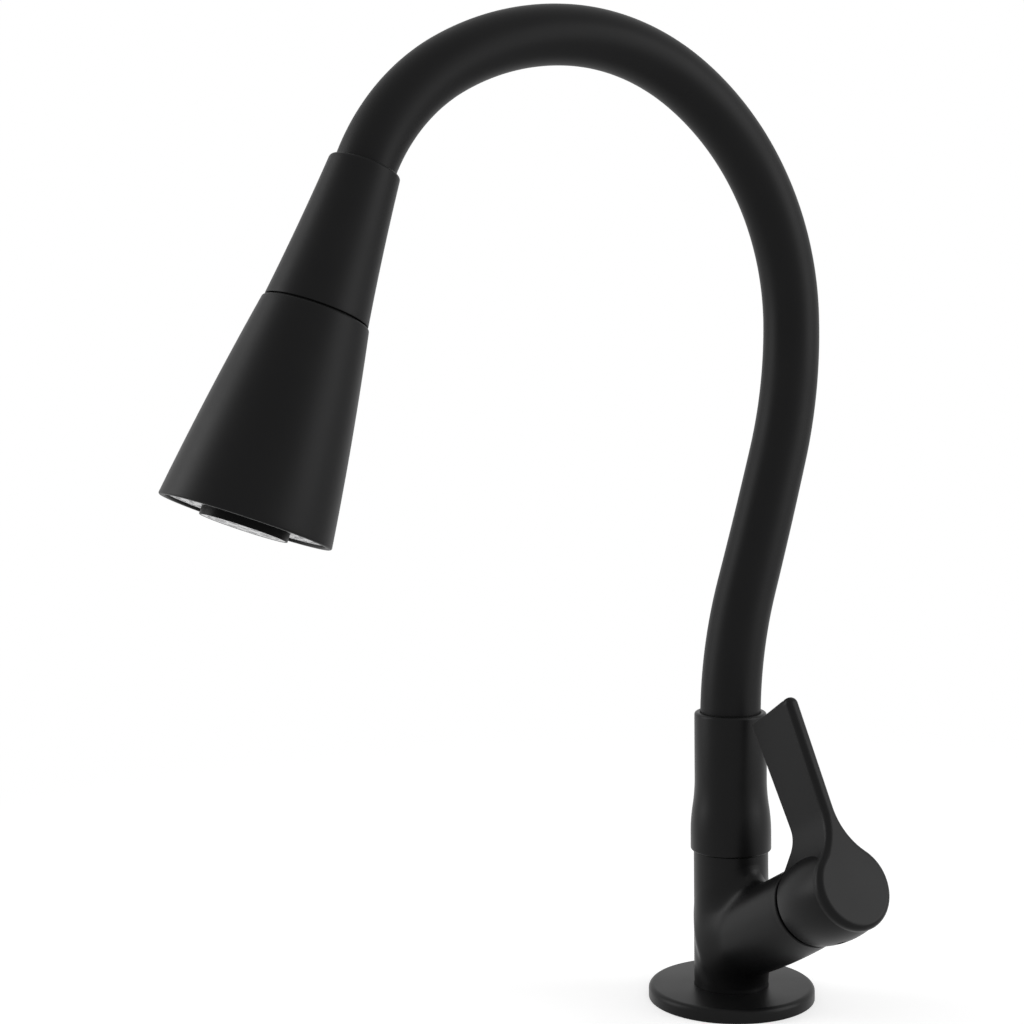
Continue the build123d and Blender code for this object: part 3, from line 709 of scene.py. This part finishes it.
def build_cast_skin(sides=240, barrel_rows=44, column_rows=24):
    """A closed shell whose rows run from the barrel's mouth to the column and then out over the column."""
    angles = [2 * math.pi * side / sides for side in range(sides)]
    junctions = [barrel_junction(angle) for angle in angles]
    mouth = barrel_length - skin_start
    outer = []
    inner = []
    for row in range(barrel_rows + column_rows + 1):
        for side, angle in enumerate(angles):
            end, seam = junctions[side]
            if row <= barrel_rows:
                along = mouth + (end - mouth) * row / barrel_rows
                start = barrel_place(along, angle, full_radius(along, math.cos(angle)))
                backing = barrel_place(along, angle, plain_radius(along) - skin_backing)
                margin = mouth - along
            else:
                tangent = junctions[(side + 1) % sides][1] - junctions[side - 1][1]
                away = Vector((tangent.y, -tangent.x)).normalized()
                upright = column_reach_low if math.cos(angle) > 0 else column_reach_top
                reach = upright + (column_reach_side - upright) * math.sin(angle) ** 2
                flat = seam + away * (reach * (row - barrel_rows) / column_rows)
                start = column_place(flat, column_radius)
                backing = column_place(flat, column_radius - skin_backing)
                margin = reach - (flat - seam).length
            place, out = on_skin(start)
            lift = (skin_lift + skin_dip) * eased(margin, 0, skin_fade) - skin_dip
            outer.append((place + out * lift) * MM)
            inner.append(backing * MM)
    count = len(outer)
    last = count - sides
    faces = []
    for side in range(sides):
        beside = (side + 1) % sides
        for low in range(0, last, sides):
            corners = (low + side, low + sides + side, low + sides + beside, low + beside)
            faces.append(corners)
            faces.append(tuple(count + corner for corner in reversed(corners)))
        faces.append((side, beside, count + beside, count + side))
        faces.append((last + beside, last + side, count + last + side, count + last + beside))
    piece = mesh_object("cast_skin", outer + inner, faces, smooth_angle=60)
    finished(piece, "base", powder_coat, "black_metal")


build_cast_skin()
build_flange()
build_sleeve()
build_upper_shell()
build_lower_shell()
build_hub()
build_nozzles()


# Camera at the photograph's viewing angle
def add_camera():
    azimuth = math.radians(camera_azimuth)
    pitch = math.radians(camera_pitch)
    roll = math.radians(camera_roll)
    right = Vector((math.cos(azimuth), math.sin(azimuth), 0))
    back = Vector((math.sin(azimuth), -math.cos(azimuth), 0))
    up = Vector((0, 0, 1))
    forward = -back * math.cos(pitch) - up * math.sin(pitch)
    level_up = up * math.cos(pitch) - back * math.sin(pitch)
    across = right * math.cos(roll) - level_up * math.sin(roll)
    upright = right * math.sin(roll) + level_up * math.cos(roll)
    data = bpy.data.cameras.new("camera")
    data.sensor_width = sensor_width
    data.lens = focal_pixels / picture_pixels * sensor_width
    camera = bpy.data.objects.new("camera", data)
    bpy.context.scene.collection.objects.link(camera)
    made = Matrix((across, upright, -forward)).transposed().to_4x4()
    made.translation = Vector(camera_place) * MM
    camera.matrix_world = made
    bpy.context.scene.camera = camera


add_camera()


# Floor, world and lamps
def seen_or_reflected(tree):
    """One where a ray comes from the camera, a reflection or a transmission."""
    path = tree.nodes.new("ShaderNodeLightPath")
    first = tree.nodes.new("ShaderNodeMath")
    first.operation = "MAXIMUM"
    tree.links.new(path.outputs["Is Camera Ray"], first.inputs[0])
    tree.links.new(path.outputs["Is Glossy Ray"], first.inputs[1])
    second = tree.nodes.new("ShaderNodeMath")
    second.operation = "MAXIMUM"
    tree.links.new(first.outputs[0], second.inputs[0])
    tree.links.new(path.outputs["Is Transmission Ray"], second.inputs[1])
    return second.outputs[0]


def emission(tree, strength):
    shader = tree.nodes.new("ShaderNodeEmission")
    shader.inputs["Strength"].default_value = strength
    return shader


def add_floor():
    """A white floor that keeps the object's shadow and turns into plain white away from it."""
    size = floor_size
    corners = [(-size, -size, 0), (size, -size, 0), (size, size, 0), (-size, size, 0)]
    floor = mesh_object("floor", corners, [(0, 1, 2, 3)])
    material = bpy.data.materials.new("floor_white")
    material.use_nodes = True
    tree = material.node_tree
    tree.nodes.clear()
    lit = tree.nodes.new("ShaderNodeBsdfDiffuse")
    lit.inputs["Color"].default_value = (floor_tone, floor_tone, floor_tone, 1)
    glow = emission(tree, floor_glow)
    dark = emission(tree, 0)
    chosen = tree.nodes.new("ShaderNodeMixShader")
    tree.links.new(seen_or_reflected(tree), chosen.inputs["Fac"])
    tree.links.new(dark.outputs[0], chosen.inputs[1])
    tree.links.new(glow.outputs[0], chosen.inputs[2])
    both = tree.nodes.new("ShaderNodeAddShader")
    tree.links.new(lit.outputs[0], both.inputs[0])
    tree.links.new(chosen.outputs[0], both.inputs[1])
    place = tree.nodes.new("ShaderNodeTexCoord")
    distance = tree.nodes.new("ShaderNodeVectorMath")
    distance.operation = "LENGTH"
    tree.links.new(place.outputs["Object"], distance.inputs[0])
    fade = tree.nodes.new("ShaderNodeMapRange")
    fade.interpolation_type = "SMOOTHSTEP"
    fade.inputs["From Min"].default_value = floor_fade[0]
    fade.inputs["From Max"].default_value = floor_fade[1]
    tree.links.new(distance.outputs["Value"], fade.inputs["Value"])
    white = emission(tree, background_white)
    whole = tree.nodes.new("ShaderNodeMixShader")
    tree.links.new(fade.outputs["Result"], whole.inputs["Fac"])
    tree.links.new(both.outputs[0], whole.inputs[1])
    tree.links.new(white.outputs[0], whole.inputs[2])
    out = tree.nodes.new("ShaderNodeOutputMaterial")
    tree.links.new(whole.outputs[0], out.inputs["Surface"])
    dress(floor, material)


def background(tree, strength):
    shader = tree.nodes.new("ShaderNodeBackground")
    shader.inputs["Color"].default_value = (1, 1, 1, 1)
    shader.inputs["Strength"].default_value = strength
    return shader


def add_world():
    """A soft even light on the object, seen and reflected as white."""
    world = bpy.data.worlds.new("world")
    bpy.context.scene.world = world
    world.use_nodes = True
    tree = world.node_tree
    tree.nodes.clear()
    soft = background(tree, world_on_object)
    white = background(tree, background_white)
    mixed = tree.nodes.new("ShaderNodeMixShader")
    tree.links.new(seen_or_reflected(tree), mixed.inputs["Fac"])
    tree.links.new(soft.outputs[0], mixed.inputs[1])
    tree.links.new(white.outputs[0], mixed.inputs[2])
    out = tree.nodes.new("ShaderNodeOutputWorld")
    tree.links.new(mixed.outputs[0], out.inputs["Surface"])


def add_lamp(name, place, size, power):
    data = bpy.data.lights.new(name, "AREA")
    data.shape = "RECTANGLE"
    data.size, data.size_y = size
    data.energy = power
    lamp = bpy.data.objects.new(name, data)
    bpy.context.scene.collection.objects.link(lamp)
    lamp.location = place
    lamp.rotation_mode = "QUATERNION"
    lamp.rotation_quaternion = (Vector(lamp_target) - Vector(place)).to_track_quat("-Z", "Y")


add_floor()
add_world()
for lamp_name, lamp_values in lamps.items():
    add_lamp(lamp_name, **lamp_values)
bpy.context.scene.view_settings.view_transform = "Standard"
